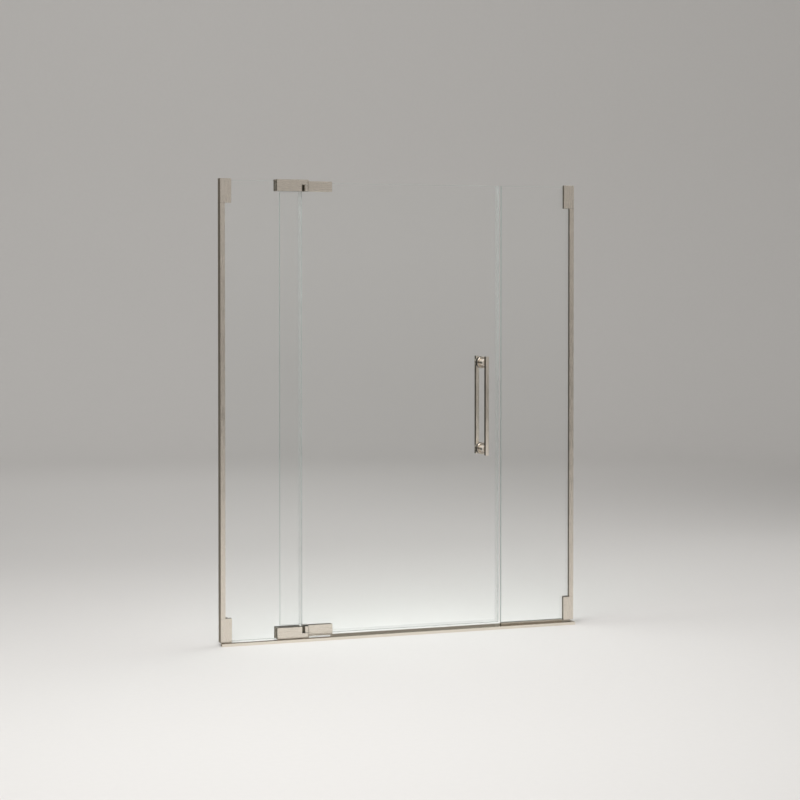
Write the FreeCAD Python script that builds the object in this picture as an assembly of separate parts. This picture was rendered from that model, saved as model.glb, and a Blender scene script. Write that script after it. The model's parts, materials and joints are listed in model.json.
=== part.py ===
import FreeCAD, Part
import math
import os

# Pivot shower door for an alcove: two fixed glass panels, and between them a glass door
# that turns on two knuckle hinges clamped to the left panel. Millimetres, +Z up,
# +X to the right as seen from the bathroom, +Y into the shower.
# Origin: underside of the sill, mid width, below the mid plane of the fixed glass.

# --- overall ---
unit_width = 1518.0            # wall to wall, 59-3/4 in
unit_height = 1839.0           # sill underside to the top of the tallest metal, 72-3/8 in
left_panel_width = 338.4       # left wall to the free edge of the left panel
right_panel_width = 320.0      # right wall to the free edge of the right panel
strike_gap = 5.0               # door edge to right panel edge
door_overlap = 86.9            # door glass behind the left panel
door_plane = 17.5              # door mid plane behind the fixed mid plane

# --- glass ---
glass_t = 10.0
glass_arris = 0.8              # ground edge all round a pane
glass_hole_r = 7.0             # drilled holes for the through bolts
edge_in_wall = 11.0            # wall face to the buried edge of a fixed panel

# --- soft layers and running gaps ---
pad_t = 1.0                    # gasket between metal and glass
pad_inset = 2.0                # gasket edge inside its metal plate
slip_gap = 0.1                 # radial gap of a bolt, sleeve or stud in its hole
pin_gap = 0.05                 # radial gap of the pivot pin in its bushing
thrust_gap = 0.1               # gap between thrust washer and arm
seal_gap = 0.3                 # soft seals stay this far off what they pass

# --- sill ---
sill_height = 12.0
sill_nose = 18.0               # sill in front of the hardware faces, from wall to wall
sill_wall = 3.0
sill_foot = 5.0                # width of the feet along the long edges
sill_rib = 24.0                # width of the middle rib
sill_round = 1.0

# --- levels of the glass ---
left_floor_gap = 3.0           # left pane above the level of the sill top
door_floor_gap = 10.0          # door and right pane above the sill
metal_under = 3.0              # clamps and fixed hinge blocks below the foot of their glass
door_metal_under = 8.0         # lower door hinge block below the foot of the door glass
metal_over = 6.0               # clamps and hinge blocks above the head of their glass
door_drop = 5.0                # door and right panel tops below the left panel top

# --- wall clamps ---
clamp_width = 45.0
clamp_height = 96.0
cover_t = 16.0                 # front plate in front of the glass gasket
clamp_back_t = 9.0
clamp_back_width = 35.0        # narrower than the cover, so it hides behind it
clamp_web_t = 6.0
clamp_bolt_in = 26.0           # bolts this far from the wall
clamp_bolt_pitch = 44.0
wall_screw_pitch = 60.0
wall_screw_r = 2.75
wall_screw_head_r = 4.6

# --- wall jambs ---
jamb_width = 19.0
jamb_wall = 2.0
jamb_gasket_inset = 1.0        # gasket edge inside the jamb's inner edge
jamb_screw_pitch = 480.0
jamb_screw_r = 2.5

# --- supports below the fixed panes ---
rail_width = 14.0
rail_strip_t = 1.5             # vinyl strip between rail and glass
rail_wall = 2.0
strip_end_gap = 0.5            # glazing strips and rail to the metal at their ends

# --- hinge, fixed half ---
hinge_width = 103.0
hinge_height = 46.0
hinge_back_t = 26.0
hinge_edge_in = 4.4            # block end stops this far inside the panel's free edge
hinge_bolt_pitch = 52.0
arm_height = 20.0
arm_clear = 1.0                # arm to the glass edge
arm_root = 2.0                 # arm carried this far into its block

# --- hinge, door half ---
door_block_width = 124.0
door_plate_t = 8.5
door_bolt_pitch = 64.0
knuckle_r = 10.5
knuckle_gap = 10.0             # fixed block end to the knuckle
pin_r = 4.0
pin_in_arm = 14.0
pin_in_knuckle = 18.0
bushing_wall = 1.8
washer_t = 1.2
washer_r = 9.0
pin_lock_r = 2.0
notch_clear = 5.0              # door glass notch to the fixed hinge block
metal_ease = 0.8               # broken edges of the metal blocks

# --- bolts ---
bolt_r = 3.0
bolt_head_r = 5.0
bolt_head_h = 5.0
bolt_head_sink = 0.5
bolt_socket_r = 2.6
bolt_socket_depth = 2.8
bolt_bite = 6.0                # thread in the front plate
sleeve_wall = 2.5

# --- handle ---
handle_from_edge = 74.0        # door edge to the handle axis
handle_level = 923.0           # middle of the handle above the sill underside
bar_width = 14.0
bar_depth = 19.5
bar_length = 406.4
bar_standoff = 55.5            # door mid plane to the middle of a bar
bar_ease = 0.6
post_span = 355.6
post_r = 15.0
spigot_r = 5.0
spigot_length = 8.0
rosette_r = 24.5
rosette_t = 6.0
rosette_round = 1.5
rosette_pad_r = 22.5
stud_r = 4.0
stud_bite = 20.0               # stud beyond the rosette, in each post
stud_lock_r = 2.5

# --- seals ---
seal_t = 1.2
edge_seal_leg = 14.0
strike_bulb = 2.6
sweep_leg = 12.0
sweep_fin_t = 1.5
sweep_shift = 4.0              # fin foot towards the shower
sweep_gap = 0.6                # fin foot above the sill

# --- worked out from the sizes above ---
half_width = unit_width / 2
half_glass = glass_t / 2
plate_y = half_glass + pad_t                      # metal face next to the fixed glass
face_y = -(plate_y + cover_t)                     # front face of clamps, jambs and hinges
clamp_back_y = plate_y + clamp_back_t
hinge_back_y = plate_y + hinge_back_t
sill_front_y = face_y - sill_nose
sill_back_y = hinge_back_y
left_edge_x = -half_width + left_panel_width
right_edge_x = half_width - right_panel_width
door_edge_x = right_edge_x - strike_gap
tail_edge_x = left_edge_x - door_overlap
left_z = (sill_height + left_floor_gap, unit_height - metal_over)
door_z = (sill_height + door_floor_gap, unit_height - metal_over - door_drop)
hinge_x = (left_edge_x - hinge_edge_in - hinge_width, left_edge_x - hinge_edge_in)
axis_x = hinge_x[1] + knuckle_gap + knuckle_r
axis_y = face_y + knuckle_r
door_block_x = (axis_x - knuckle_r, axis_x - knuckle_r + door_block_width)
door_front_y = door_plane - half_glass
door_back_y = door_plane + half_glass
door_face_y = door_front_y - pad_t - door_plate_t
door_rear_y = door_back_y + pad_t + door_plate_t
handle_x = door_edge_x - handle_from_edge
sleeve_bore_r = glass_hole_r - slip_gap - sleeve_wall


def box(x, y, z):
    """Block between the low and high values of each pair."""
    x0, x1 = sorted(x)
    y0, y1 = sorted(y)
    z0, z1 = sorted(z)
    return Part.makeBox(x1 - x0, y1 - y0, z1 - z0, FreeCAD.Vector(x0, y0, z0))


def eased_box(x, y, z, ease):
    """Block with every edge broken by a small chamfer."""
    block = box(x, y, z)
    return block.makeChamfer(ease, block.Edges)


def rod_y(x, z, y, radius):
    """Cylinder along Y between the two values of y."""
    y0, y1 = sorted(y)
    return Part.makeCylinder(radius, y1 - y0, FreeCAD.Vector(x, y0, z), FreeCAD.Vector(0, 1, 0))


def rod_x(y, z, x, radius):
    """Cylinder along X between the two values of x."""
    x0, x1 = sorted(x)
    return Part.makeCylinder(radius, x1 - x0, FreeCAD.Vector(x0, y, z), FreeCAD.Vector(1, 0, 0))


def rod_z(x, y, z, radius):
    """Cylinder along Z between the two values of z."""
    z0, z1 = sorted(z)
    return Part.makeCylinder(radius, z1 - z0, FreeCAD.Vector(x, y, z0))


def prism_x(points_yz, x):
    """Polygon in the YZ plane carried along X."""
    x0, x1 = sorted(x)
    corners = [FreeCAD.Vector(x0, y, z) for y, z in points_yz]
    face = Part.Face(Part.makePolygon(corners + corners[:1]))
    return face.extrude(FreeCAD.Vector(x1 - x0, 0, 0))


def plate_from_plan(points, nose, z):
    """Plan outline closed by an arc over its nose, carried along Z, with eased ends."""
    z0, z1 = sorted(z)
    corners = [FreeCAD.Vector(x, y, z0) for x, y in points]
    arc = Part.Arc(corners[-1], FreeCAD.Vector(nose[0], nose[1], z0), corners[0]).toShape()
    outline = Part.Wire([*Part.makePolygon(corners).Edges, arc])
    plate = Part.Face(outline).extrude(FreeCAD.Vector(0, 0, z1 - z0))
    flat_edges = []
    for edge in plate.Edges:
        if edge.BoundBox.ZLength < metal_ease:
            flat_edges.append(edge)
    return plate.makeChamfer(metal_ease, flat_edges)


def middle(pair):
    return (pair[0] + pair[1]) / 2


def save(name, *solids):
    """One file per node; a node of repeated fasteners holds several solids."""
    shape = solids[0] if len(solids) == 1 else Part.makeCompound(list(solids))
    shape.exportStep("parts/" + name + ".step")


def socket_bolt(x, z, head_y, point_y):
    """Socket head bolt along Y: head at head_y, thread ending at point_y."""
    way = 1 if point_y > head_y else -1
    shoulder_y = head_y + way * bolt_head_h
    bolt = rod_y(x, z, (head_y, shoulder_y), bolt_head_r)
    bolt = bolt.fuse(rod_y(x, z, (shoulder_y, point_y), bolt_r))
    corners = []
    for step in range(7):
        turn = math.radians(60 * step)
        corners.append(FreeCAD.Vector(x + bolt_socket_r * math.cos(turn), head_y,
                                      z + bolt_socket_r * math.sin(turn)))
    socket = Part.Face(Part.makePolygon(corners)).extrude(
        FreeCAD.Vector(0, way * bolt_socket_depth, 0))
    return bolt.cut(socket).removeSplitter()


def sleeve(x, z, mid_y):
    """Plastic sleeve that keeps a bolt off the drilled glass."""
    span = (mid_y - half_glass, mid_y + half_glass)
    outer = rod_y(x, z, span, glass_hole_r - slip_gap)
    return outer.cut(rod_y(x, z, span, sleeve_bore_r))


def drill_for_bolt(plate, x, z, rear_y, near_glass_y):
    """Clearance hole with a counterbore in the rear face of a back plate."""
    plate = plate.cut(rod_y(x, z, (rear_y, near_glass_y), bolt_r + slip_gap))
    seat_y = rear_y - bolt_head_sink - bolt_head_h
    return plate.cut(rod_y(x, z, (rear_y, seat_y), bolt_head_r + slip_gap * 2))


def tap_for_bolt(plate, x, z, near_glass_y):
    """Blind hole in a front plate, from its glass side."""
    deep = near_glass_y - bolt_bite - slip_gap
    return plate.cut(rod_y(x, z, (near_glass_y, deep), bolt_r + slip_gap))


def drilled_pad(x, y, z, bolts):
    """Gasket with a hole at each bolt."""
    pad = box(x, y, z)
    for bolt_x, bolt_z in bolts:
        pad = pad.cut(rod_y(bolt_x, bolt_z, y, sleeve_bore_r))
    return pad


def inset(pair, by):
    low, high = sorted(pair)
    return (low + by, high - by)


def end_levels(glass_z, height):
    """Lower and upper z ranges of metal that stands proud of the glass ends."""
    low = glass_z[0] - metal_under
    high = glass_z[1] + metal_over
    return {"lower": (low, low + height), "upper": (high - height, high)}


# --- places of the repeated hardware ---
clamp_levels = {"left": end_levels(left_z, clamp_height), "right": end_levels(door_z, clamp_height)}
fixed_block_z = end_levels(left_z, hinge_height)
block_inner_z = {"lower": fixed_block_z["lower"][1], "upper": fixed_block_z["upper"][0]}
door_block_z = {
    "lower": (door_z[0] - door_metal_under, block_inner_z["lower"]),
    "upper": (block_inner_z["upper"], door_z[1] + metal_over),
}


def side_x(side, near, far):
    """X range given as two distances from the wall on that side."""
    sign = -1 if side == "left" else 1
    return tuple(sorted((sign * (half_width - near), sign * (half_width - far))))


def clamp_bolts(side, level):
    x = middle(side_x(side, clamp_bolt_in, clamp_bolt_in))
    z = middle(clamp_levels[side][level])
    return [(x, z - clamp_bolt_pitch / 2), (x, z + clamp_bolt_pitch / 2)]


def hinge_bolts(level):
    x = middle(hinge_x)
    z = middle(fixed_block_z[level])
    return [(x - hinge_bolt_pitch / 2, z), (x + hinge_bolt_pitch / 2, z)]


def door_bolts(level):
    x = middle(door_block_x)
    z = middle(door_block_z[level])
    return [(x - door_bolt_pitch / 2, z), (x + door_bolt_pitch / 2, z)]


def handle_posts():
    return [handle_level - post_span / 2, handle_level + post_span / 2]


# --- sill ---
def make_sill():
    """Threshold: a nose from wall to wall, broad right of the hinges, hollow below."""
    x = (-half_width, half_width)
    broad_x = (door_block_x[1], half_width)
    sill = box(x, (sill_front_y, face_y), (0, sill_height))
    sill = sill.fuse(box(broad_x, (sill_front_y, sill_back_y), (0, sill_height))).removeSplitter()
    top_edges = []
    for edge in sill.Edges:
        ends = edge.BoundBox
        along_x = ends.XLength > ends.YLength and ends.ZMin > sill_height / 2
        if along_x and abs(ends.YMin - face_y) > sill_round:
            top_edges.append(edge)
    sill = sill.makeFillet(sill_round, top_edges)
    hollow_x = (broad_x[0] + sill_wall, broad_x[1])
    hollow_z = (0, sill_height - sill_wall)
    sill = sill.cut(box(x, (sill_front_y + sill_foot, face_y - sill_foot), hollow_z))
    sill = sill.cut(box(hollow_x, (sill_front_y + sill_foot, -sill_rib / 2), hollow_z))
    sill = sill.cut(box(hollow_x, (sill_rib / 2, sill_back_y - sill_foot), hollow_z))
    save("sill", sill)


def make_pane_supports():
    """Tall clear strip below the left pane; slim rail with its own strip below the right."""
    y = (-half_glass, half_glass)
    left_x = (-half_width + clamp_width + strip_end_gap, hinge_x[0] - strip_end_gap)
    save("glazing_strip_left", box(left_x, y, (0, left_z[0])))
    x = (right_edge_x, half_width - clamp_width - strip_end_gap)
    top = door_z[0] - rail_strip_t
    rail_y = (-rail_width / 2, rail_width / 2)
    rail = box(x, rail_y, (sill_height, top))
    rail = rail.cut(box(x, inset(rail_y, rail_wall), (sill_height, top - rail_wall)))
    save("support_rail", rail)
    save("glazing_strip_right", box(x, y, (top, door_z[0])))


# --- glass ---
def pane(x, mid_y, z, cuts, holes):
    """Ground pane with rectangular notches and drilled holes."""
    y = (mid_y - half_glass, mid_y + half_glass)
    glass = box(x, y, z)
    for notch in cuts:
        glass = glass.cut(notch)
    long_edges = []
    for edge in glass.Edges:
        if edge.BoundBox.YLength < half_glass:
            long_edges.append(edge)
    glass = glass.makeChamfer(glass_arris, long_edges)
    for hole_x, hole_z in holes:
        glass = glass.cut(rod_y(hole_x, hole_z, y, glass_hole_r))
    return glass


def make_panes():
    levels = ("lower", "upper")
    left_holes = []
    right_holes = []
    door_holes = [(handle_x, z) for z in handle_posts()]
    for level in levels:
        left_holes += clamp_bolts("left", level) + hinge_bolts(level)
        right_holes += clamp_bolts("right", level)
        door_holes += door_bolts(level)
    save("fixed_glass_left",
         pane((-half_width + edge_in_wall, left_edge_x), 0, left_z, [], left_holes))
    save("fixed_glass_right",
         pane((right_edge_x, half_width - edge_in_wall), 0, door_z, [], right_holes))
    notch_x = (tail_edge_x, door_block_x[0])
    notch_y = (door_front_y, door_back_y)
    low = box(notch_x, notch_y, (door_z[0], block_inner_z["lower"] + notch_clear))
    high = box(notch_x, notch_y, (block_inner_z["upper"] - notch_clear, door_z[1]))
    save("door_glass", pane((tail_edge_x, door_edge_x), door_plane, door_z, [low, high], door_holes))


# --- wall clamps ---
def make_clamp(side, level):
    """Body on the wall with a plate behind the glass, a front cover and two gaskets."""
    z = clamp_levels[side][level]
    name = level + "_" + side
    web = box(side_x(side, 0, clamp_web_t), (-plate_y, clamp_back_y), z)
    back = eased_box(side_x(side, 0, clamp_back_width), (plate_y, clamp_back_y), z, metal_ease)
    body = back.fuse(web).removeSplitter()
    for x, bolt_z in clamp_bolts(side, level):
        body = drill_for_bolt(body, x, bolt_z, clamp_back_y, plate_y)
    wall_x, inner_x = (-half_width, -half_width + clamp_web_t) if side == "left" else (
        half_width, half_width - clamp_web_t)
    way = 1 if side == "left" else -1
    for screw_z in (middle(z) - wall_screw_pitch / 2, middle(z) + wall_screw_pitch / 2):
        body = body.cut(rod_x(0, screw_z, (wall_x, inner_x), wall_screw_r))
        sink = wall_screw_head_r - wall_screw_r
        cone = Part.makeCone(wall_screw_r, wall_screw_head_r, sink,
                             FreeCAD.Vector(inner_x - way * sink, 0, screw_z),
                             FreeCAD.Vector(way, 0, 0))
        body = body.cut(cone)
    save("clamp_body_" + name, body)
    cover = eased_box(side_x(side, 0, clamp_width), (face_y, -plate_y), z, metal_ease)
    for x, bolt_z in clamp_bolts(side, level):
        cover = tap_for_bolt(cover, x, bolt_z, -plate_y)
    save("clamp_cover_" + name, cover)
    pane_z = left_z if side == "left" else door_z
    pad_z = (max(z[0] + pad_inset, pane_z[0]), min(z[1] - pad_inset, pane_z[1]))
    front_x = side_x(side, edge_in_wall, clamp_width - pad_inset)
    back_x = side_x(side, edge_in_wall, clamp_back_width - pad_inset)
    bolts = clamp_bolts(side, level)
    save("clamp_pads_" + name, drilled_pad(front_x, (-plate_y, -half_glass), pad_z, bolts),
         drilled_pad(back_x, (half_glass, plate_y), pad_z, bolts))


# --- wall jambs ---
def make_jamb(side):
    """Hollow jamb in front of the glass between the clamps, on a flange screwed to the wall."""
    levels = clamp_levels[side]
    z = (levels["lower"][1], levels["upper"][0])
    tube = box(side_x(side, 0, jamb_width), (face_y, -plate_y), z)
    upright = []
    for edge in tube.Edges:
        if edge.BoundBox.ZLength > jamb_width:
            upright.append(edge)
    tube = tube.makeChamfer(metal_ease, upright)
    flange = box(side_x(side, 0, jamb_wall), (face_y + metal_ease, clamp_back_y), z)
    jamb = tube.fuse(flange).removeSplitter()
    chamber = side_x(side, jamb_wall, jamb_width - jamb_wall)
    jamb = jamb.cut(box(chamber, (face_y + jamb_wall, -plate_y - jamb_wall), z))
    for step in (-1.5, -0.5, 0.5, 1.5):
        screw_z = middle(z) + step * jamb_screw_pitch
        jamb = jamb.cut(rod_x(0, screw_z, side_x(side, 0, jamb_wall), jamb_screw_r))
    save("wall_jamb_" + side, jamb)
    gasket_x = side_x(side, edge_in_wall, jamb_width - jamb_gasket_inset)
    save("jamb_gasket_" + side, box(gasket_x, (-plate_y, -half_glass), z))


# --- hinge, fixed half ---
def knuckle_z(level):
    """Heights of arm, washer and knuckle, from the outer end of the fixed block inwards."""
    z = fixed_block_z[level]
    way = 1 if level == "lower" else -1
    outer = z[0] if level == "lower" else z[1]
    arm = outer + way * arm_height
    washer = arm + way * thrust_gap
    knuckle = washer + way * washer_t
    return way, outer, arm, washer, knuckle


def make_fixed_half(level):
    """Front plate with the arm that holds the pin, back plate and gaskets."""
    z = fixed_block_z[level]
    way, outer, arm, washer, knuckle = knuckle_z(level)
    front = eased_box(hinge_x, (face_y, -plate_y), z, metal_ease)
    root_x = hinge_x[1] - arm_root
    heel_x = left_edge_x + arm_clear
    rear_y = axis_y + knuckle_r
    outline = [(axis_x, rear_y), (heel_x, rear_y), (heel_x, -plate_y), (root_x, -plate_y),
               (root_x, face_y), (axis_x, face_y)]
    nose = (axis_x + knuckle_r, axis_y)
    front = front.fuse(plate_from_plan(outline, nose, (outer, arm))).removeSplitter()
    for x, bolt_z in hinge_bolts(level):
        front = tap_for_bolt(front, x, bolt_z, -plate_y)
    pin_top = arm - way * pin_in_arm
    front = front.cut(rod_z(axis_x, axis_y, (arm, pin_top - way * slip_gap), pin_r + slip_gap))
    lock_z = arm - way * pin_in_arm / 2
    lock_y = axis_y + pin_r + slip_gap
    front = front.cut(rod_y(axis_x, lock_z, (lock_y, axis_y + knuckle_r), pin_lock_r + slip_gap))
    save("hinge_front_plate_" + level, front)
    back = eased_box(hinge_x, (plate_y, hinge_back_y), z, metal_ease)
    for x, bolt_z in hinge_bolts(level):
        back = drill_for_bolt(back, x, bolt_z, hinge_back_y, plate_y)
    save("hinge_back_plate_" + level, back)
    pad_x = inset(hinge_x, pad_inset)
    pad_z = (max(z[0] + pad_inset, left_z[0]), min(z[1] - pad_inset, left_z[1]))
    bolts = hinge_bolts(level)
    save("hinge_pads_" + level, drilled_pad(pad_x, (-plate_y, -half_glass), pad_z, bolts),
         drilled_pad(pad_x, (half_glass, plate_y), pad_z, bolts))
    pin = rod_z(axis_x, axis_y, (pin_top, knuckle + way * pin_in_knuckle), pin_r)
    save("pivot_pin_" + level, pin)


def pin_locks():
    """Set screws in the back of each arm that bear on the pins."""
    locks = []
    for level in ("lower", "upper"):
        way, outer, arm, washer, knuckle = knuckle_z(level)
        lock_z = arm - way * pin_in_arm / 2
        span = (axis_y + pin_r + slip_gap, axis_y + knuckle_r - slip_gap * 2)
        locks.append(rod_y(axis_x, lock_z, span, pin_lock_r))
    return locks


# --- hinge, door half ---
def make_door_half(level):
    """Front plate with the knuckle, back plate, gaskets, bushing and thrust washer."""
    z = door_block_z[level]
    way, outer, arm, washer, knuckle = knuckle_z(level)
    inner = block_inner_z[level]
    front = eased_box(door_block_x, (door_face_y, door_front_y - pad_t), z, metal_ease)
    near_x = axis_x - knuckle_r
    far_x = axis_x + knuckle_r
    root_y = door_face_y + metal_ease * 2
    outline = [(far_x, axis_y), (far_x, root_y), (near_x, root_y), (near_x, axis_y)]
    nose = (axis_x, axis_y - knuckle_r)
    front = front.fuse(plate_from_plan(outline, nose, (knuckle, inner))).removeSplitter()
    bushing_r = pin_r + pin_gap + bushing_wall
    deep = knuckle + way * (pin_in_knuckle + slip_gap)
    front = front.cut(rod_z(axis_x, axis_y, (knuckle, deep), bushing_r + slip_gap))
    for x, bolt_z in door_bolts(level):
        front = tap_for_bolt(front, x, bolt_z, door_front_y - pad_t)
    save("door_front_plate_" + level, front)
    back_y = door_back_y + pad_t
    back = eased_box(door_block_x, (back_y, door_rear_y), z, metal_ease)
    for x, bolt_z in door_bolts(level):
        back = drill_for_bolt(back, x, bolt_z, door_rear_y, back_y)
    save("door_back_plate_" + level, back)
    pad_x = inset(door_block_x, pad_inset)
    pad_z = (max(z[0] + pad_inset, door_z[0]), min(z[1] - pad_inset, door_z[1]))
    bolts = door_bolts(level)
    save("door_pads_" + level,
         drilled_pad(pad_x, (door_front_y - pad_t, door_front_y), pad_z, bolts),
         drilled_pad(pad_x, (door_back_y, back_y), pad_z, bolts))
    span = (knuckle, knuckle + way * pin_in_knuckle)
    bushing = rod_z(axis_x, axis_y, span, bushing_r)
    save("pivot_bushing_" + level, bushing.cut(rod_z(axis_x, axis_y, span, pin_r + pin_gap)))
    span = (washer, knuckle)
    ring = rod_z(axis_x, axis_y, span, washer_r)
    save("thrust_washer_" + level, ring.cut(rod_z(axis_x, axis_y, span, pin_r + pin_gap)))


# --- fasteners ---
def make_bolts():
    clamp = []
    clamp_sleeve = []
    hinge = []
    hinge_sleeve = []
    door = []
    door_sleeve = []
    for level in ("lower", "upper"):
        for side in ("left", "right"):
            for x, z in clamp_bolts(side, level):
                clamp.append(socket_bolt(x, z, clamp_back_y - bolt_head_sink, -plate_y - bolt_bite))
                clamp_sleeve.append(sleeve(x, z, 0))
        for x, z in hinge_bolts(level):
            hinge.append(socket_bolt(x, z, hinge_back_y - bolt_head_sink, -plate_y - bolt_bite))
            hinge_sleeve.append(sleeve(x, z, 0))
        for x, z in door_bolts(level):
            point = door_front_y - pad_t - bolt_bite
            door.append(socket_bolt(x, z, door_rear_y - bolt_head_sink, point))
            door_sleeve.append(sleeve(x, z, door_plane))
    save("clamp_bolts", *clamp)
    save("hinge_bolts", *hinge)
    save("panel_bolt_sleeves", *clamp_sleeve, *hinge_sleeve)
    save("door_hinge_bolts", *door)
    save("door_bolt_sleeves", *door_sleeve)
    save("pin_lock_screws", *pin_locks())


# --- handle ---
def make_handle():
    """Back to back pull: two bars on round posts, with studs through the glass."""
    rosettes = []
    pads = []
    locks = []
    for name, way in (("outer", -1), ("inner", 1)):
        glass_y = door_plane + way * half_glass
        pad_y = glass_y + way * pad_t
        plate_end = pad_y + way * rosette_t
        bar_y = door_plane + way * bar_standoff
        near_y = bar_y - way * bar_depth / 2
        far_y = bar_y + way * bar_depth / 2
        x = (handle_x - bar_width / 2, handle_x + bar_width / 2)
        z = (handle_level - bar_length / 2, handle_level + bar_length / 2)
        bar = eased_box(x, (near_y, far_y), z, bar_ease)
        posts = []
        for post_z in handle_posts():
            spigot_y = near_y + way * spigot_length
            bar = bar.cut(rod_y(handle_x, post_z, (near_y, spigot_y + way * slip_gap),
                                spigot_r + slip_gap))
            post = rod_y(handle_x, post_z, (plate_end, near_y), post_r)
            post = post.makeChamfer(bar_ease, [post.Edges[0], post.Edges[2]])
            post = post.fuse(rod_y(handle_x, post_z, (near_y, spigot_y), spigot_r))
            deep = plate_end + way * (stud_bite + slip_gap)
            post = post.cut(rod_y(handle_x, post_z, (plate_end, deep), stud_r + slip_gap))
            lock_y = plate_end + way * stud_bite / 2
            if name == "inner":
                lock_z = (post_z - post_r, post_z - stud_r)
                post = post.cut(rod_z(handle_x, lock_y, lock_z, stud_lock_r + slip_gap))
                lock_z = (post_z - post_r + bar_ease, post_z - stud_r - slip_gap)
                locks.append(rod_z(handle_x, lock_y, lock_z, stud_lock_r))
            posts.append(post)
            bore = rod_y(handle_x, post_z, (glass_y, plate_end), stud_r + slip_gap)
            plate = rod_y(handle_x, post_z, (pad_y, plate_end), rosette_r)
            rim = []
            for edge in plate.Edges:
                flat = edge.BoundBox.YLength < rosette_t / 2
                if flat and abs(edge.BoundBox.YMin - plate_end) < rosette_t / 2:
                    rim.append(edge)
            rosettes.append(plate.makeFillet(rosette_round, rim).cut(bore))
            pads.append(rod_y(handle_x, post_z, (glass_y, pad_y), rosette_pad_r).cut(bore))
        save("handle_bar_" + name, bar)
        save("handle_posts_" + name, *posts)
    save("handle_rosettes", *rosettes)
    save("handle_rosette_pads", *pads)
    save("handle_lock_screws", *locks)
    reach = half_glass + pad_t + rosette_t + stud_bite
    studs = []
    sleeves = []
    for post_z in handle_posts():
        studs.append(rod_y(handle_x, post_z, (door_plane - reach, door_plane + reach), stud_r))
        tube = rod_y(handle_x, post_z, (door_front_y, door_back_y), glass_hole_r - slip_gap)
        bore = rod_y(handle_x, post_z, (door_front_y, door_back_y), stud_r + slip_gap)
        sleeves.append(tube.cut(bore))
    save("handle_studs", *studs)
    save("handle_stud_sleeves", *sleeves)


# --- seals ---
def make_panel_edge_seal():
    """Clear channel on the free edge of the left panel, with a fin back to the door glass."""
    z = (block_inner_z["lower"] + seal_gap, block_inner_z["upper"] - seal_gap)
    outer_x = left_edge_x + seal_t
    y = (-half_glass - seal_t, half_glass + seal_t)
    seal = box((left_edge_x - edge_seal_leg, outer_x), y, z)
    seal = seal.cut(box((left_edge_x - edge_seal_leg, left_edge_x), (-half_glass, half_glass), z))
    fin = box((left_edge_x, outer_x), (half_glass, door_front_y - seal_gap), z)
    save("panel_edge_seal", seal.fuse(fin).removeSplitter())


def make_strike_seal():
    """Clear channel on the closing edge of the door, with a bulb that fills the gap."""
    y = (door_front_y - seal_t, door_back_y + seal_t)
    seal = box((door_edge_x - edge_seal_leg, door_edge_x + seal_t), y, door_z)
    seal = seal.cut(box((door_edge_x - edge_seal_leg, door_edge_x),
                        (door_front_y, door_back_y), door_z))
    bulb_r = strike_bulb / 2
    bulb = rod_z(door_edge_x + bulb_r + seal_t / 2, door_front_y - seal_t + bulb_r, door_z, bulb_r)
    save("strike_seal", seal.fuse(bulb).removeSplitter())


def make_door_sweep():
    """Clear channel on the bottom edge of the door, with a wiping fin over the sill."""
    x = (door_block_x[1] + seal_gap, door_edge_x - edge_seal_leg - seal_gap)
    y = (door_front_y - seal_t, door_back_y + seal_t)
    sweep = box(x, y, (door_z[0] - seal_t, door_z[0] + sweep_leg))
    sweep = sweep.cut(box(x, (door_front_y, door_back_y), (door_z[0], door_z[0] + sweep_leg)))
    root = door_z[0] - seal_t
    foot = sill_height + sweep_gap
    fin = [(door_front_y, root), (door_front_y + sweep_fin_t, root),
           (door_front_y + sweep_fin_t + sweep_shift, foot), (door_front_y + sweep_shift, foot)]
    save("door_sweep", sweep.fuse(prism_x(fin, x)).removeSplitter())


os.makedirs("parts", exist_ok=True)
make_sill()
make_pane_supports()
make_panes()
for wall_side in ("left", "right"):
    make_jamb(wall_side)
    for clamp_level in ("lower", "upper"):
        make_clamp(wall_side, clamp_level)
for hinge_level in ("lower", "upper"):
    make_fixed_half(hinge_level)
    make_door_half(hinge_level)
make_bolts()
make_handle()
make_panel_edge_seal()
make_strike_seal()
make_door_sweep()
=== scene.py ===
import bmesh
import bpy
import json
import math
import numpy as np
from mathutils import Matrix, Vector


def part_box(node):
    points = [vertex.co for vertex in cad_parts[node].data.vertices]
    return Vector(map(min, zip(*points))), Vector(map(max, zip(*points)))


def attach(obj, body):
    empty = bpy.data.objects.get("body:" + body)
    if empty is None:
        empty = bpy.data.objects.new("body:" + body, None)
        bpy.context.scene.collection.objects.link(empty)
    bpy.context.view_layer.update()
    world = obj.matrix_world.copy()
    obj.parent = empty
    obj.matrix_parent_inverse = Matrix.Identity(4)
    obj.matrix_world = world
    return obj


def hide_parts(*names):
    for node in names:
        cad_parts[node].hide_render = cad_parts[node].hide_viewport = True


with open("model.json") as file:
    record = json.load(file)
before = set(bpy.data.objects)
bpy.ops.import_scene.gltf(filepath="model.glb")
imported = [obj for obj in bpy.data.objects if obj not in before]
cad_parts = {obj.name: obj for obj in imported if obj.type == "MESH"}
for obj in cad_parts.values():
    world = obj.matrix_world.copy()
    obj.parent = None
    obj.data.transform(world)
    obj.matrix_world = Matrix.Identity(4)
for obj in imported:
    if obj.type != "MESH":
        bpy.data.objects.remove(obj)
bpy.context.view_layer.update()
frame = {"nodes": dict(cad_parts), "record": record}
nodes = frame["nodes"]
print("frame loaded:", len(nodes), "nodes")


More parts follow.
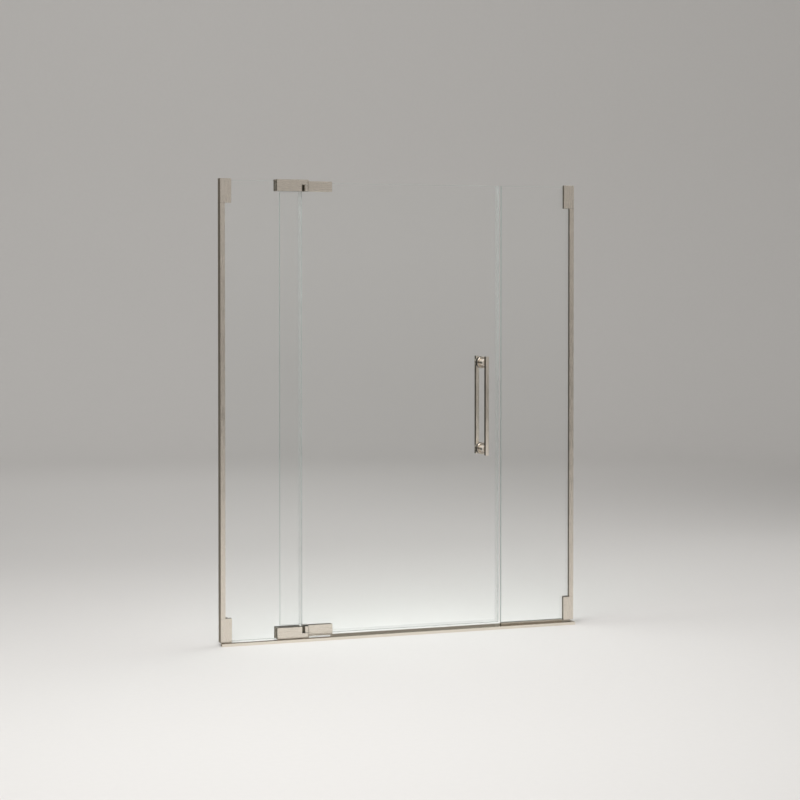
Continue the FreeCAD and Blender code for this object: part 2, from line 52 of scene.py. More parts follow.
# closed rings of points joined by quads, with one flat face over the first and the last ring
def shellFromRings(rings):
    # rings[i, j] is the surface at step i along the piece and step j round it
    rows, cols = rings.shape[:2]
    i, j = np.meshgrid(np.arange(rows - 1), np.arange(cols), indexing="ij")
    after = (j + 1) % cols
    quads = np.stack([i * cols + j, i * cols + after, (i + 1) * cols + after, (i + 1) * cols + j], -1)
    caps = [list(range(cols)), list(range((rows - 1) * cols, rows * cols))]
    return rings.reshape(-1, 3), quads.reshape(-1, 4).tolist() + caps


def closedLoopShell(rings):
    # as above, but the last ring joins the first one, so there is no cap
    rows, cols = rings.shape[:2]
    i, j = np.meshgrid(np.arange(rows), np.arange(cols), indexing="ij")
    nextRow, after = (i + 1) % rows, (j + 1) % cols
    quads = np.stack([i * cols + j, i * cols + after, nextRow * cols + after, nextRow * cols + j], -1)
    return rings.reshape(-1, 3), quads.reshape(-1, 4).tolist()


def joinShells(shells):
    # several shells in one list of points, each face list moved on by the points before it
    points, faces, count = [], [], 0
    for shellPoints, shellFaces in shells:
        points.append(shellPoints)
        faces += [[corner + count for corner in face] for face in shellFaces]
        count += len(shellPoints)
    return np.concatenate(points), faces


def revolve(profile, centreX, centreZ, steps):
    # profile holds (radius, y); P(a, k) = (cx + r_k cos a, y_k, cz + r_k sin a)
    angle = np.linspace(0, 2 * math.pi, steps, endpoint=False)
    radius, along = np.asarray(profile).T
    x = centreX + radius[:, None] * np.cos(angle)
    z = centreZ + radius[:, None] * np.sin(angle)
    y = np.broadcast_to(along[:, None], x.shape)
    return np.stack([x, y, z], -1)


def arcPoints(centre, radius, startDeg, endDeg, steps):
    # (c0 + r cos a, c1 + r sin a) for a from start to end
    a = np.radians(np.linspace(startDeg, endDeg, steps))
    return np.stack([centre[0] + radius * np.cos(a), centre[1] + radius * np.sin(a)], -1)


def carryOutline(outline, axis, start, end):
    # outline lies across the axis; P(0, j) = outline_j at start, P(1, j) = outline_j at end
    outline = np.asarray(outline)
    along = np.array([start, end])
    rings = np.zeros((len(along), len(outline), 3))
    across = [k for k in range(3) if k != axis]
    rings[:, :, across[0]] = outline[:, 0]
    rings[:, :, across[1]] = outline[:, 1]
    rings[:, :, axis] = along[:, None]
    return shellFromRings(rings)


# lengths are in metres and angles in degrees
pieceLook = {"easeSegments": 2, "smoothBelow": 35}


def putPiece(name, shell, material, body, replaced, bevel=0.0,
             smoothBelow=pieceLook["smoothBelow"]):
    # mesh with outward faces, smooth over edges that turn by less than smoothBelow degrees,
    # riding on its body in place of the nodes that it replaces
    points, faces = shell
    mesh = bpy.data.meshes.new(name)
    mesh.from_pydata(np.asarray(points, float).tolist(), [], faces)
    work = bmesh.new()
    work.from_mesh(mesh)
    bmesh.ops.recalc_face_normals(work, faces=work.faces)
    for edge in work.edges:
        edge.smooth = edge.calc_face_angle(math.pi) < math.radians(smoothBelow)
    work.to_mesh(mesh)
    work.free()
    mesh.polygons.foreach_set("use_smooth", np.ones(len(mesh.polygons), bool))
    mesh.update()
    mesh.materials.append(material)
    piece = bpy.data.objects.new(name, mesh)
    bpy.context.scene.collection.objects.link(piece)
    if bevel:
        ease = piece.modifiers.new("ease", "BEVEL")
        ease.width = bevel
        ease.segments = pieceLook["easeSegments"]
        ease.limit_method = "ANGLE"
    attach(piece, body)
    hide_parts(*replaced)


def startFinish(name):
    # empty material with one shader; the functions below are the parts that finishes are made from
    material = bpy.data.materials.new(name)
    material.use_nodes = True
    tree = material.node_tree
    tree.nodes.clear()
    shader = tree.nodes.new("ShaderNodeBsdfPrincipled")
    output = tree.nodes.new("ShaderNodeOutputMaterial")
    tree.links.new(shader.outputs["BSDF"], output.inputs["Surface"])
    return material, tree, shader


def noiseField(tree, stretch, scale, detail):
    # noise(scale * stretch * place): a small stretch along one axis draws streaks along it
    place = tree.nodes.new("ShaderNodeTexCoord")
    mapping = tree.nodes.new("ShaderNodeMapping")
    mapping.inputs["Scale"].default_value = stretch
    noise = tree.nodes.new("ShaderNodeTexNoise")
    noise.inputs["Scale"].default_value = scale
    noise.inputs["Detail"].default_value = detail
    tree.links.new(place.outputs["Object"], mapping.inputs["Vector"])
    tree.links.new(mapping.outputs["Vector"], noise.inputs["Vector"])
    return noise.outputs["Fac"]


def spread(tree, field, low, high, fromLow=0.3, fromHigh=0.7):
    # low + (high - low) * (field - fromLow) / (fromHigh - fromLow), kept between low and high;
    # most of a noise lies between 0.3 and 0.7
    node = tree.nodes.new("ShaderNodeMapRange")
    node.inputs["From Min"].default_value = fromLow
    node.inputs["From Max"].default_value = fromHigh
    node.inputs["To Min"].default_value = low
    node.inputs["To Max"].default_value = high
    tree.links.new(field, node.inputs["Value"])
    return node.outputs["Result"]


def blendColour(tree, field, first, second):
    # first * (1 - field) + second * field; either colour may be a node's output;
    # inputs 6 and 7 and output 2 are the node's colour sockets
    node = tree.nodes.new("ShaderNodeMix")
    node.data_type = "RGBA"
    tree.links.new(field, node.inputs[0])
    for socket, colour in ((node.inputs[6], first), (node.inputs[7], second)):
        if isinstance(colour, tuple):
            socket.default_value = (*colour, 1.0)
        else:
            tree.links.new(colour, socket)
    return node.outputs[2]


def combine(tree, operation, first, second):
    # first and second joined by the operation; either may be a plain number
    node = tree.nodes.new("ShaderNodeMath")
    node.operation = operation
    for socket, value in ((node.inputs[0], first), (node.inputs[1], second)):
        if isinstance(value, float):
            socket.default_value = value
        else:
            tree.links.new(value, socket)
    return node.outputs[0]


def bumpFrom(tree, shader, field, strength, distance):
    # tilts the normal by the slope of the field, which stands for distance metres of height
    node = tree.nodes.new("ShaderNodeBump")
    node.inputs["Strength"].default_value = strength
    node.inputs["Distance"].default_value = distance
    tree.links.new(field, node.inputs["Height"])
    tree.links.new(node.outputs["Normal"], shader.inputs["Normal"])


def facing(tree, axis):
    # size of the normal's part along one axis of the piece: 1 on faces across it, 0 along it
    place = tree.nodes.new("ShaderNodeTexCoord")
    parts = tree.nodes.new("ShaderNodeSeparateXYZ")
    tree.links.new(place.outputs["Normal"], parts.inputs["Vector"])
    return combine(tree, "ABSOLUTE", parts.outputs[axis], 0.0)


even = (1.0, 1.0, 1.0)      # a noise that is as long as it is wide


nickel = {
    "bright": (0.83, 0.762, 0.675),
    "dull": (0.77, 0.705, 0.622),
    # the next four colours are painted shade on the narrow sides of blocks, jambs and clamps, pull bars and
    # left wall pieces
    "blockSideShade": (0.40, 0.366, 0.304),    # painted shade on the polished narrow sides of the blocks, darker than the brushed faces
    "jambSideShade": (0.28, 0.256, 0.214),
    "barSideShade": (0.15, 0.137, 0.113),
    "wallSideShade": (0.50, 0.458, 0.380),
    "levelShade": (0.13, 0.118, 0.096),    # painted shade on tops and undersides
    "postFlankReflection": (0.16, 0.146, 0.122),    # painted dark reflection band on the sideways part of what is turned
    # painted shade on the rims of the rosettes, where they face along x
    "rimFlankShade": (0.14, 0.128, 0.107),
    "postMetal": 0.55,          # posts are satin, so part of their light is scattered
    # painted shade on the sill's top and ends
    "sillShade": (0.38, 0.348, 0.295),
    "edgeTint": (0.30, 0.30, 0.30),        # of metal that is seen almost edge on
    "sillEdgeTint": (0.93, 0.88, 0.78),
    "grainPerMetre": 1500,      # streaks across the grain
    "grainStretch": 0.012,      # how much longer a streak is than wide
    "grainDetail": 2.0,
    "grainDull": 0.45,          # least share of the bright tone in a streak
    "bumpDepth": 0.00002,
    "bumpStrength": 0.25,
    "smudgePerMetre": 14,
    "smudgeDetail": 4.0,
    "smudgeDull": 0.8,
    "smudgeRoughness": 0.04,
    "broadFrom": (0.15, 0.45),  # part of the normal along y where a side becomes a broad face
    "levelFrom": (0.5, 0.9),    # part along z where a side becomes a top or an underside
    "postFlankFrom": (0.93, 0.985),
    "rimFlankFrom": (0.45, 0.85),
    "blockRoughness": (0.17, 0.34),
    "postRoughness": (0.14, 0.22),
    "rosetteRoughness": (0.10, 0.18),
    "sillRoughness": (0.03, 0.09),
}


def brushedNickel(name, grainAxis, roughness, sideShade=None, topShade=nickel["levelShade"], flankShade=None,
                  flankFrom=None, edgeTint=nickel["edgeTint"], metal=1.0):
    # warm nickel plate brushed along one axis, with finger smudges; faces across y are bright,
    # the narrow sides and tops take painted shade in the colours given for them, and the flanks of
    # turned pieces, which face along x, take a painted dark band in the colour given for them
    material, tree, shader = startFinish(name)
    stretch = [1.0, 1.0, 1.0]
    stretch[grainAxis] = nickel["grainStretch"]
    grain = noiseField(tree, stretch, nickel["grainPerMetre"], nickel["grainDetail"])
    smudge = noiseField(tree, even, nickel["smudgePerMetre"], nickel["smudgeDetail"])
    tone = combine(tree, "MULTIPLY", spread(tree, grain, nickel["grainDull"], 1.0),
                   spread(tree, smudge, nickel["smudgeDull"], 1.0))
    colour = blendColour(tree, tone, nickel["dull"], nickel["bright"])
    # painted shade: narrow sides and tops darkened by which way the normal faces
    if sideShade:
        broad = spread(tree, facing(tree, "Y"), 0.0, 1.0, *nickel["broadFrom"])
        level = spread(tree, facing(tree, "Z"), 0.0, 1.0, *nickel["levelFrom"])
        narrowShade = blendColour(tree, level, sideShade, topShade)
        colour = blendColour(tree, broad, narrowShade, colour)
    # painted dark band on the flanks of turned pieces, where the normal lies along x
    if flankShade:
        sideways = spread(tree, facing(tree, "X"), 0.0, 1.0, *flankFrom)
        colour = blendColour(tree, sideways, colour, flankShade)
    tree.links.new(colour, shader.inputs["Base Color"])
    shader.inputs["Specular Tint"].default_value = (*edgeTint, 1.0)
    rough = combine(tree, "ADD", spread(tree, grain, *roughness),
                    spread(tree, smudge, 0.0, nickel["smudgeRoughness"]))
    tree.links.new(rough, shader.inputs["Roughness"])
    shader.inputs["Metallic"].default_value = metal
    bumpFrom(tree, shader, grain, nickel["bumpStrength"], nickel["bumpDepth"])
    return material


glass = {
    "face": (1.0, 1.0, 1.0),
    "groundEdge": (0.55, 0.66, 0.62),
    "bodyTint": (0.45, 0.85, 0.70),
    "bodyDensity": 1.6,
    "ior": 1.5,
    "edgeRoughness": 0.38,
    "edgeClearness": 0.6,       # the ground edges also scatter light
    "edgeFrom": (0.2, 0.8),     # part of the normal along y where an edge becomes a face
    "spotPerMetre": 260,
    "spotDetail": 2.0,
    "spotFrom": (0.66, 0.78),   # only the peaks of the noise leave a spot
    "spotRoughness": 0.035,
    "shadow": (0.93, 0.95, 0.945),
}


def clearGlass(name):
    # clear tempered sheet: faint dried spots on the faces, seamed edges a little rough and green
    material, tree, shader = startFinish(name)
    edge = spread(tree, facing(tree, "Y"), 1.0, 0.0, *glass["edgeFrom"])
    spots = spread(tree, noiseField(tree, even, glass["spotPerMetre"], glass["spotDetail"]),
                   0.0, glass["spotRoughness"], *glass["spotFrom"])
    rough = combine(tree, "ADD", spots, spread(tree, edge, 0.0, glass["edgeRoughness"], 0.0, 1.0))
    tree.links.new(rough, shader.inputs["Roughness"])
    tree.links.new(blendColour(tree, edge, glass["face"], glass["groundEdge"]), shader.inputs["Base Color"])
    clear = spread(tree, edge, 1.0, glass["edgeClearness"], 0.0, 1.0)
    tree.links.new(clear, shader.inputs["Transmission Weight"])
    shader.inputs["IOR"].default_value = glass["ior"]
    letThrough = tree.nodes.new("ShaderNodeBsdfTransparent")
    letThrough.inputs["Color"].default_value = (*glass["shadow"], 1.0)
    rays = tree.nodes.new("ShaderNodeLightPath")
    choose = tree.nodes.new("ShaderNodeMixShader")
    output = tree.nodes["Material Output"]
    tree.links.new(rays.outputs["Is Shadow Ray"], choose.inputs[0])
    tree.links.new(shader.outputs["BSDF"], choose.inputs[1])
    tree.links.new(letThrough.outputs["BSDF"], choose.inputs[2])
    tree.links.new(choose.outputs["Shader"], output.inputs["Surface"])
    body = tree.nodes.new("ShaderNodeVolumeAbsorption")
    body.inputs["Color"].default_value = (*glass["bodyTint"], 1.0)
    body.inputs["Density"].default_value = glass["bodyDensity"]
    tree.links.new(body.outputs["Volume"], output.inputs["Volume"])
    return material


vinyl = {
    "clear": (0.42, 0.46, 0.45),
    "milky": (0.34, 0.38, 0.37),
    "drawPerMetre": 420,        # fine draw lines left by extrusion
    "drawStretch": 0.01,
    "drawDetail": 2.0,
    "hazePerMetre": 30.0,
    "hazeDetail": 3.0,
    "roughness": (0.03, 0.14),
    "uprightCover": 0.06,       # share of the light that the thin wall stops
    "flatCover": 0.03,
    "ior": 1.40,
    "bumpDepth": 0.00003,
    "bumpStrength": 0.3,
}


def clearVinyl(name, drawAxis, cover):
    # extruded soft plastic: draw lines along its length and a slightly milky tone
    material, tree, shader = startFinish(name)
    stretch = [1.0, 1.0, 1.0]
    stretch[drawAxis] = vinyl["drawStretch"]
    draw = noiseField(tree, stretch, vinyl["drawPerMetre"], vinyl["drawDetail"])
    haze = noiseField(tree, even, vinyl["hazePerMetre"], vinyl["hazeDetail"])
    tree.links.new(blendColour(tree, haze, vinyl["clear"], vinyl["milky"]), shader.inputs["Base Color"])
    tree.links.new(spread(tree, draw, *vinyl["roughness"]), shader.inputs["Roughness"])
    shader.inputs["Alpha"].default_value = cover
    shader.inputs["IOR"].default_value = vinyl["ior"]
    bumpFrom(tree, shader, draw, vinyl["bumpStrength"], vinyl["bumpDepth"])
    return material


plastics = {
    "gasket": {"first": (0.035, 0.035, 0.036), "second": (0.075, 0.073, 0.070), "rough": (0.55, 0.80),
               "scale": 900.0, "bump": 0.00008, "metal": 0.0},
    "nylon": {"first": (0.74, 0.73, 0.69), "second": (0.84, 0.83, 0.80), "rough": (0.38, 0.55),
              "scale": 500.0, "bump": 0.00004, "metal": 0.0},
    "acetal": {"first": (0.82, 0.80, 0.74), "second": (0.90, 0.89, 0.85), "rough": (0.28, 0.42),
               "scale": 700.0, "bump": 0.00003, "metal": 0.0},
    "screwSteel": {"first": (0.42, 0.42, 0.41), "second": (0.60, 0.60, 0.58), "rough": (0.22, 0.42),
                   "scale": 1200.0, "bump": 0.00003, "metal": 1.0},
}


grainLook = {"detail": 4.0, "cloudDetail": 2.0, "cloudSize": 14, "least": 0.5, "bumpStrength": 0.4}


def mouldedFinish(name, look):
    # fine grain in colour, roughness and height, from one noise, with clouds cloudSize times as large
    material, tree, shader = startFinish(name)
    grain = noiseField(tree, even, look["scale"], grainLook["detail"])
    cloud = noiseField(tree, even, look["scale"] / grainLook["cloudSize"], grainLook["cloudDetail"])
    tone = combine(tree, "MULTIPLY", spread(tree, grain, grainLook["least"], 1.0),
                   spread(tree, cloud, grainLook["least"], 1.0))
    tree.links.new(blendColour(tree, tone, look["first"], look["second"]), shader.inputs["Base Color"])
    tree.links.new(spread(tree, grain, *look["rough"]), shader.inputs["Roughness"])
    shader.inputs["Metallic"].default_value = look["metal"]
    bumpFrom(tree, shader, grain, grainLook["bumpStrength"], look["bump"])
    return material


axisX, axisY, axisZ = 0, 1, 2
nickelAlongX = brushedNickel("nickelAlongX", axisX, nickel["blockRoughness"], nickel["blockSideShade"])
nickelAlongZ = brushedNickel("nickelAlongZ", axisZ, nickel["blockRoughness"], nickel["jambSideShade"])
nickelBar = brushedNickel("nickelBar", axisZ, nickel["blockRoughness"], nickel["barSideShade"])
nickelLeftWall = brushedNickel("nickelLeftWall", axisZ, nickel["blockRoughness"], nickel["wallSideShade"])
nickelPost = brushedNickel("nickelPost", axisY, nickel["postRoughness"], flankShade=nickel["postFlankReflection"],
                           flankFrom=nickel["postFlankFrom"], metal=nickel["postMetal"])
nickelRosette = brushedNickel("nickelRosette", axisY, nickel["rosetteRoughness"],
                              flankShade=nickel["rimFlankShade"], flankFrom=nickel["rimFlankFrom"])
nickelSill = brushedNickel("nickelSill", axisX, nickel["sillRoughness"], nickel["sillShade"],
                           nickel["sillShade"], edgeTint=nickel["sillEdgeTint"])
glassSheet = clearGlass("glassSheet")
vinylUpright = clearVinyl("vinylUpright", axisZ, vinyl["uprightCover"])
vinylFlat = clearVinyl("vinylFlat", axisX, vinyl["flatCover"])
gasketRubber = mouldedFinish("gasketRubber", plastics["gasket"])
sleeveNylon = mouldedFinish("sleeveNylon", plastics["nylon"])
bearingAcetal = mouldedFinish("bearingAcetal", plastics["acetal"])
screwSteel = mouldedFinish("screwSteel", plastics["screwSteel"])
print("finishes made")


def finishFor(name, slotName):
    # the brushing follows the long way of a piece; what is turned is brushed along its axis
    if slotName == "brushed_nickel":
        if name == "sill":
            return nickelSill
        if name.startswith("handle_posts"):
            return nickelPost
        if name == "handle_rosettes":
            return nickelRosette
        if name.startswith(("wall_jamb", "clamp")) and name.endswith("left"):
            return nickelLeftWall
        if name.startswith(("wall_jamb", "clamp")):
            return nickelAlongZ
        if name.startswith("handle_bar"):
            return nickelBar
        return nickelAlongX
    if slotName == "clear_vinyl":
        return vinylUpright if name in ("panel_edge_seal", "strike_seal") else vinylFlat
    return {"clear_glass": glassSheet, "gasket_rubber": gasketRubber, "sleeve_plastic": sleeveNylon,
            "bearing_plastic": bearingAcetal, "fastener_steel": screwSteel}[slotName]


for subpart in frame["record"]["subparts"]:
    name = subpart["node"]
    for materialSlot in nodes[name].material_slots:
        materialSlot.material = finishFor(name, subpart["material_slot"])
print("finishes put on the carried-over nodes")


barLook = {"corner": 0.0022, "endRound": 0.0012, "cornerSteps": 7, "endSteps": 5, "smoothBelow": 50}


def pullBar(low, high):
    # rounded rectangle carried up z; near an end, at angle t of the end round e,
    # it is drawn in by e (1 - sin t) and lies e (1 - cos t) inside the end
    centre = (np.asarray(low) + np.asarray(high)) / 2
    half = (np.asarray(high) - np.asarray(low)) / 2
    turn = np.linspace(0, math.pi / 2, barLook["endSteps"])
    drawnIn = barLook["endRound"] * (1 - np.sin(turn))
    height = half[2] - barLook["endRound"] * (1 - np.cos(turn))
    inset = np.concatenate([drawnIn, drawnIn[::-1]])
    level = np.concatenate([-height, height[::-1]])
    angle = np.linspace(0, math.pi / 2, barLook["cornerSteps"])
    quarter = (angle[None, :] + np.arange(4)[:, None] * math.pi / 2).ravel()
    sideX = np.repeat([1, -1, -1, 1], barLook["cornerSteps"])
    sideY = np.repeat([1, 1, -1, -1], barLook["cornerSteps"])
    radius = (barLook["corner"] - inset)[:, None]
    x = centre[0] + sideX * (half[0] - barLook["corner"]) + radius * np.cos(quarter)
    y = centre[1] + sideY * (half[1] - barLook["corner"]) + radius * np.sin(quarter)
    z = np.broadcast_to((centre[2] + level)[:, None], x.shape)
    return shellFromRings(np.stack([x, y, z], -1))


for side in ("outer", "inner"):
    barName = "handle_bar_" + side
    putPiece("pullBar." + side, pullBar(*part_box(barName)), nickelBar, "door", [barName],
             smoothBelow=barLook["smoothBelow"])
print("pull bars made")


postLook = {"steps": 72, "groove": 0.0005, "grooveWidth": 0.0012, "grooveFrom": 0.0016, "ease": 0.0008,
            "easeSteps": 5}


def pullPost(centreX, centreZ, radius, glassEnd, barEnd):
    # turned post: its foot on the rosette drawn in by the groove's depth, a fine shadow groove
    # just above that, and a quarter round at the bar
    way = 1 if barEnd > glassEnd else -1
    ease, groove = postLook["ease"], postLook["groove"]
    first = glassEnd + way * postLook["grooveFrom"]
    second = first + way * postLook["grooveWidth"]
    quarter = arcPoints((radius - ease, 0.0), ease, 0, 90, postLook["easeSteps"])
    outEnd = [(r, barEnd - way * (ease - rise)) for r, rise in quarter]
    profile = [(radius - groove, glassEnd), (radius, glassEnd + way * groove), (radius, first),
               (radius - groove, first + way * groove / 2), (radius - groove, second - way * groove / 2),
               (radius, second)] + outEnd
    return shellFromRings(revolve(profile, centreX, centreZ, postLook["steps"]))


postLow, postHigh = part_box("handle_posts_outer")
postRadius = (postHigh[0] - postLow[0]) / 2
pullX = (postHigh[0] + postLow[0]) / 2
postLevels = (postLow[2] + postRadius, postHigh[2] - postRadius)
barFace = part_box("handle_bar_outer")[1][1]
postShells = [pullPost(pullX, level, postRadius, postHigh[1], barFace) for level in postLevels]
putPiece("pullPosts.outer", joinShells(postShells), nickelPost, "door", ["handle_posts_outer"])
print("outer posts made")


rosetteLook = {"round": 0.0018, "roundSteps": 8, "dish": 0.0005, "dishWidth": 0.006, "bore": 0.0042,
               "padBulge": 0.0003, "padSteps": 7, "steps": 96}


def rosetteRing(centreX, centreZ, radius, glassSide, freeSide):
    # closed loop of (radius, y): flat back, quarter round rim, and a shallow dish towards the post
    way = 1 if freeSide > glassSide else -1
    bend = rosetteLook["round"]
    quarter = arcPoints((radius - bend, 0.0), bend, 0, 90, rosetteLook["roundSteps"])
    rim = [(r, freeSide - way * (bend - rise)) for r, rise in quarter]
    dishEdge = radius - bend - rosetteLook["dishWidth"] / 2
    dishFloor = freeSide - way * rosetteLook["dish"]
    profile = [(rosetteLook["bore"], glassSide), (radius, glassSide)] + rim + [
        (dishEdge, freeSide), (dishEdge - rosetteLook["dish"], dishFloor), (rosetteLook["bore"], dishFloor)]
    return closedLoopShell(revolve(profile, centreX, centreZ, rosetteLook["steps"]))


def padRing(centreX, centreZ, radius, glassSide, freeSide):
    # clear washer with a softly bulged rim: r(t) = r - b (1 - sin(pi t)) over its thickness
    t = np.linspace(0, 1, rosetteLook["padSteps"])
    bulged = radius - rosetteLook["padBulge"] * (1 - np.sin(math.pi * t))
    rim = [(r, glassSide + (freeSide - glassSide) * s) for r, s in zip(bulged, t)]
    profile = [(rosetteLook["bore"], glassSide)] + rim + [(rosetteLook["bore"], freeSide)]
    return closedLoopShell(revolve(profile, centreX, centreZ, rosetteLook["steps"]))


rosetteLow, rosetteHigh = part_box("handle_rosettes")
padLow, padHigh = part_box("handle_rosette_pads")
glassLow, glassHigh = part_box("door_glass")
rosetteRadius = (rosetteHigh[0] - rosetteLow[0]) / 2
padRadius = (padHigh[0] - padLow[0]) / 2
ringShells, padShells = [], []
for level in postLevels:
    for freeSide, padSide, glassSide in ((rosetteLow[1], padLow[1], glassLow[1]),
                                         (rosetteHigh[1], padHigh[1], glassHigh[1])):
        ringShells.append(rosetteRing(pullX, level, rosetteRadius, padSide, freeSide))
        padShells.append(padRing(pullX, level, padRadius, glassSide, padSide))
putPiece("pullRosettes", joinShells(ringShells), nickelRosette, "door", ["handle_rosettes"])
putPiece("rosettePads", joinShells(padShells), vinylFlat, "door", ["handle_rosette_pads"])
print("rosettes and pads made")


sealLook = {
    "wall": 0.0012,
    "slip": 0.00005,            # kept off the glass that the channel holds
    "ease": 0.00025,
    "bulb": 0.0013,
    "bulbSteps": 13,
    "lipSteps": 6,
    "lipLean": 0.25,            # of the wall's thickness
    "finThickness": 0.0015,
    "finShift": 0.004,
    "finCurve": 1.6,
    "finSteps": 7,
}


def panelEdgeOutline(low, high, edgeX, faceY):
    # channel round the free edge of the left panel, open to -x, and a lip back to the door glass,
    # which leans in by lean sin(pi t) on its way
    wall, slip = sealLook["wall"], sealLook["slip"]
    x0, x1, y0, y1 = low[0], high[0], low[1], faceY + wall
    lip = np.linspace(0, 1, sealLook["lipSteps"])
    lean = sealLook["wall"] * sealLook["lipLean"] * np.sin(math.pi * lip)
    outside = [(x1 - d, y1 + (high[1] - y1) * t) for d, t in zip(lean, lip)]
    inside = [(x1 - wall - d, y1 + (high[1] - y1) * t) for d, t in zip(lean[::-1], lip[::-1])]
    return [(x0, y0), (x1, y0)] + outside + inside + [
        (x0, y1), (x0, faceY + slip), (edgeX + slip, faceY + slip),
        (edgeX + slip, y0 + wall - slip), (x0, y0 + wall - slip)]


def strikeOutline(low, high, edgeX):
    # channel round the closing edge of the door, open to -x, and a half round bulb at its front corner
    wall, bulb, inner = sealLook["wall"], sealLook["bulb"], sealLook["wall"] - sealLook["slip"]
    x0, x1, y0, y1 = low[0], edgeX + wall, low[1], high[1]
    bulbArc = arcPoints((high[0] - bulb, y0 + bulb), bulb, -90, 90, sealLook["bulbSteps"])
    return [(x0, y0)] + [tuple(p) for p in bulbArc] + [
        (x1, y0 + 2 * bulb), (x1, y1), (x0, y1), (x0, y1 - inner), (x1 - inner, y1 - inner),
        (x1 - inner, y0 + inner), (x0, y0 + inner)]


def sweepOutline(low, high, glassFoot):
    # channel under the door, open upwards, with a fin that moves back by shift t^curve on its way down
    wall, fin, inner = sealLook["wall"], sealLook["finThickness"], sealLook["wall"] - sealLook["slip"]
    y0, y1, foot, top = low[1], high[1], low[2], high[2]
    base = glassFoot - wall
    root = y0 + wall
    drop = np.linspace(0, 1, sealLook["finSteps"])
    bend = sealLook["finShift"] * drop ** sealLook["finCurve"]
    front = [(root + s, base + (foot - base) * t) for s, t in zip(bend, drop)]
    back = [(root + fin + s, base + (foot - base) * t) for s, t in zip(bend[::-1], drop[::-1])]
    return [(y0, top), (y0, base)] + front + back + [
        (y1, base), (y1, top), (y1 - inner, top), (y1 - inner, base + inner),
        (y0 + inner, base + inner), (y0 + inner, top)]


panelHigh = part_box("fixed_glass_left")[1]
low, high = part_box("panel_edge_seal")
outline = panelEdgeOutline(low, high, panelHigh[0], panelHigh[1])
putPiece("panelEdgeSeal", carryOutline(outline, axisZ, low[2], high[2]), vinylUpright, "frame",
         ["panel_edge_seal"], bevel=sealLook["ease"])
low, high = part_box("strike_seal")
putPiece("strikeSeal", carryOutline(strikeOutline(low, high, glassHigh[0]), axisZ, low[2], high[2]),
         vinylUpright, "door", ["strike_seal"], bevel=sealLook["ease"])
low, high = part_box("door_sweep")
putPiece("doorSweep", carryOutline(sweepOutline(low, high, glassLow[2]), axisX, low[0], high[0]),
         vinylFlat, "door", ["door_sweep"], bevel=sealLook["ease"])
print("seals made")


studio = {
    "floorRadius": 11.0,
    "floorRings": (0.4, 1.5, 3.0, 5.5),
    "coveRadius": 3.0,
    "coveSteps": 16,
    "turnSteps": 128,
    "wallHeight": 7.0,
    "floorTone": (0.71, 0.697, 0.680),
    "farShadeTone": (0.28, 0.272, 0.263),      # painted shade of the far floor in front
    "paleRadius": (3.5, 7.5),
    "frontReach": (-6.0, 6.0),
    "greyHeight": (0.5, 1.7),
    "rollerPerMetre": 40.0,
    "rollerDetail": 3.0,
    "rollerTone": 0.02,
    "roughness": 0.85,
    "keyPower": 200.0,
    "keySize": 3.2,
    "keyPlace": (-1.6, -2.4, 4.4),
    "keyAim": (0, 0, 0.7),
    "fillPower": 40.0,
    "fillSize": 3.0,
    "fillPlace": (2.8, 1.6, 4.2),
    "fillAim": (0, 0, 0.9),
    "washPower": 70.0,
    "washSize": 3.0,
    "washPlace": (0.5, 4.0, 5.0),
    "washAim": (0.5, 11.0, 3.0),
    "frontPower": 145.0,
    "frontSize": 3.0,
    "frontPlace": (0.5, -4.0, 5.0),
    "frontAim": (6.0, -9.5, 3.8),
    "skyTone": (1.0, 0.985, 0.965, 1.0),
    "skyStrength": 0.42,
}


def studioShell():
    # (radius, z) of the floor, a quarter round cove and the wall, turned round z
    reach, bend = studio["floorRadius"], studio["coveRadius"]
    cove = arcPoints((reach - bend, bend), bend, -90, 0, studio["coveSteps"])
    floor = [(radius, 0.0) for radius in studio["floorRings"]]
    profile = floor + [tuple(p) for p in cove] + [(reach, studio["wallHeight"])]
    turned = revolve(profile, 0.0, 0.0, studio["turnSteps"])
    points, faces = shellFromRings(turned[:, :, [0, 2, 1]])
    middle = faces[-2][::-1]        # faces up as the rest does; the last face, over the top, stays off
    return points, faces[:-2] + [middle]


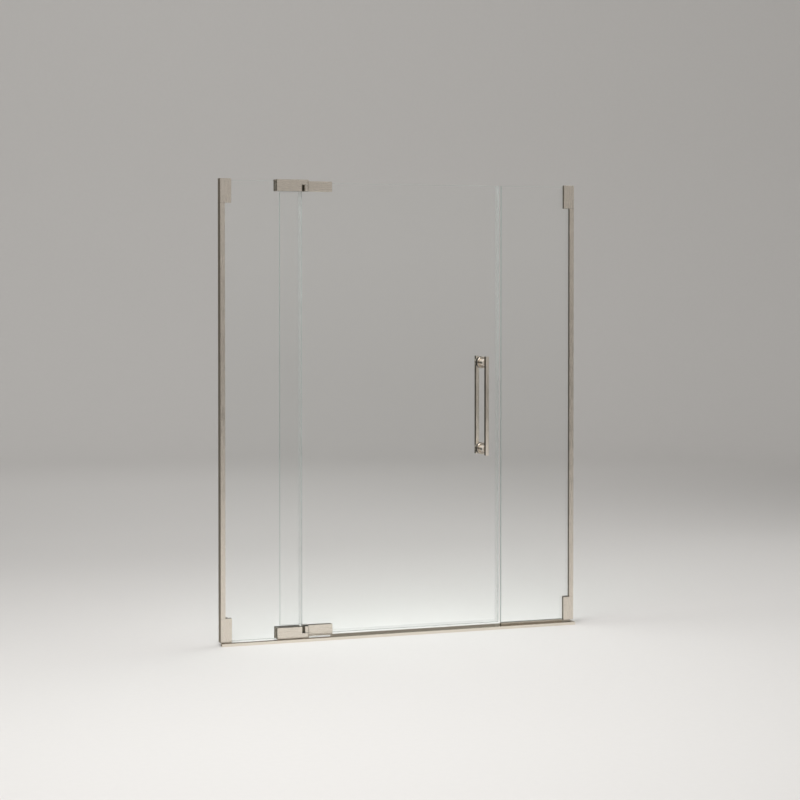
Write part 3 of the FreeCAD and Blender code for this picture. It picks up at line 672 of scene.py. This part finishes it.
def studioFinish():
    # matt paint with a faint roller texture: pale, with painted shade far out in front, up to the cove's
    # foot
    material, tree, shader = startFinish("studioPaint")
    place = tree.nodes.new("ShaderNodeTexCoord")
    parts = tree.nodes.new("ShaderNodeSeparateXYZ")
    tree.links.new(place.outputs["Object"], parts.inputs["Vector"])
    reach = tree.nodes.new("ShaderNodeVectorMath")
    reach.operation = "LENGTH"
    tree.links.new(place.outputs["Object"], reach.inputs[0])
    far = spread(tree, reach.outputs["Value"], 0.0, 1.0, *studio["paleRadius"])
    front = spread(tree, parts.outputs["Y"], 1.0, 0.0, *studio["frontReach"])
    down = spread(tree, parts.outputs["Z"], 1.0, 0.0, *studio["greyHeight"])
    # painted shade: darker far out, in front and low down, in place of light that falls off
    farShade = combine(tree, "MULTIPLY", combine(tree, "MULTIPLY", far, front), down)
    roller = spread(tree, noiseField(tree, even, studio["rollerPerMetre"], studio["rollerDetail"]),
                    0.0, studio["rollerTone"])
    tone = blendColour(tree, combine(tree, "ADD", farShade, roller), studio["floorTone"], studio["farShadeTone"])
    tree.links.new(tone, shader.inputs["Base Color"])
    shader.inputs["Roughness"].default_value = studio["roughness"]
    return material


points, faces = studioShell()
mesh = bpy.data.meshes.new("studioFloor")
mesh.from_pydata(points.tolist(), [], faces)
mesh.polygons.foreach_set("use_smooth", np.ones(len(mesh.polygons), bool))
mesh.materials.append(studioFinish())
floorObject = bpy.data.objects.new("studioFloor", mesh)
bpy.context.scene.collection.objects.link(floorObject)


def softLight(name, place, size, power, target):
    # round area light at place, turned so that it points at target
    light = bpy.data.lights.new(name, "AREA")
    light.shape = "DISK"
    light.size = size
    light.energy = power
    lamp = bpy.data.objects.new(name, light)
    lamp.location = place
    aim = np.asarray(target) - np.asarray(place)
    flat = math.hypot(aim[0], aim[1])
    lamp.rotation_euler = (math.atan2(flat, -aim[2]), 0, math.atan2(aim[1], aim[0]) - math.pi / 2)
    bpy.context.scene.collection.objects.link(lamp)


for lampName in ("key", "fill", "wash", "front"):
    softLight(lampName + "Light", studio[lampName + "Place"], studio[lampName + "Size"],
              studio[lampName + "Power"], studio[lampName + "Aim"])
sky = bpy.data.worlds.new("softSky")
sky.use_nodes = True
skyShader = sky.node_tree.nodes["Background"]
skyShader.inputs["Color"].default_value = studio["skyTone"]
skyShader.inputs["Strength"].default_value = studio["skyStrength"]
bpy.context.scene.world = sky
bpy.context.scene.view_settings.view_transform = "Standard"
print("studio set")


view = {
    "place": (-2.6905, -7.5149, 1.4334),
    "turnDeg": -19.673,
    "tiltDeg": -1.116,
    "lens": 88.537,
    "sensor": 36.0,
    "shiftY": -0.10,            # looks a little down by shift, so that uprights stay upright
}
camera = bpy.data.cameras.new("photoView")
camera.lens = view["lens"]
camera.sensor_width = view["sensor"]
camera.shift_y = view["shiftY"]
cameraObject = bpy.data.objects.new("photoView", camera)
cameraObject.location = view["place"]
levelDeg = 90       # an unturned camera looks straight down
cameraObject.rotation_euler = (math.radians(levelDeg + view["tiltDeg"]), 0, math.radians(view["turnDeg"]))
bpy.context.scene.collection.objects.link(cameraObject)
bpy.context.scene.camera = cameraObject
print("camera set")
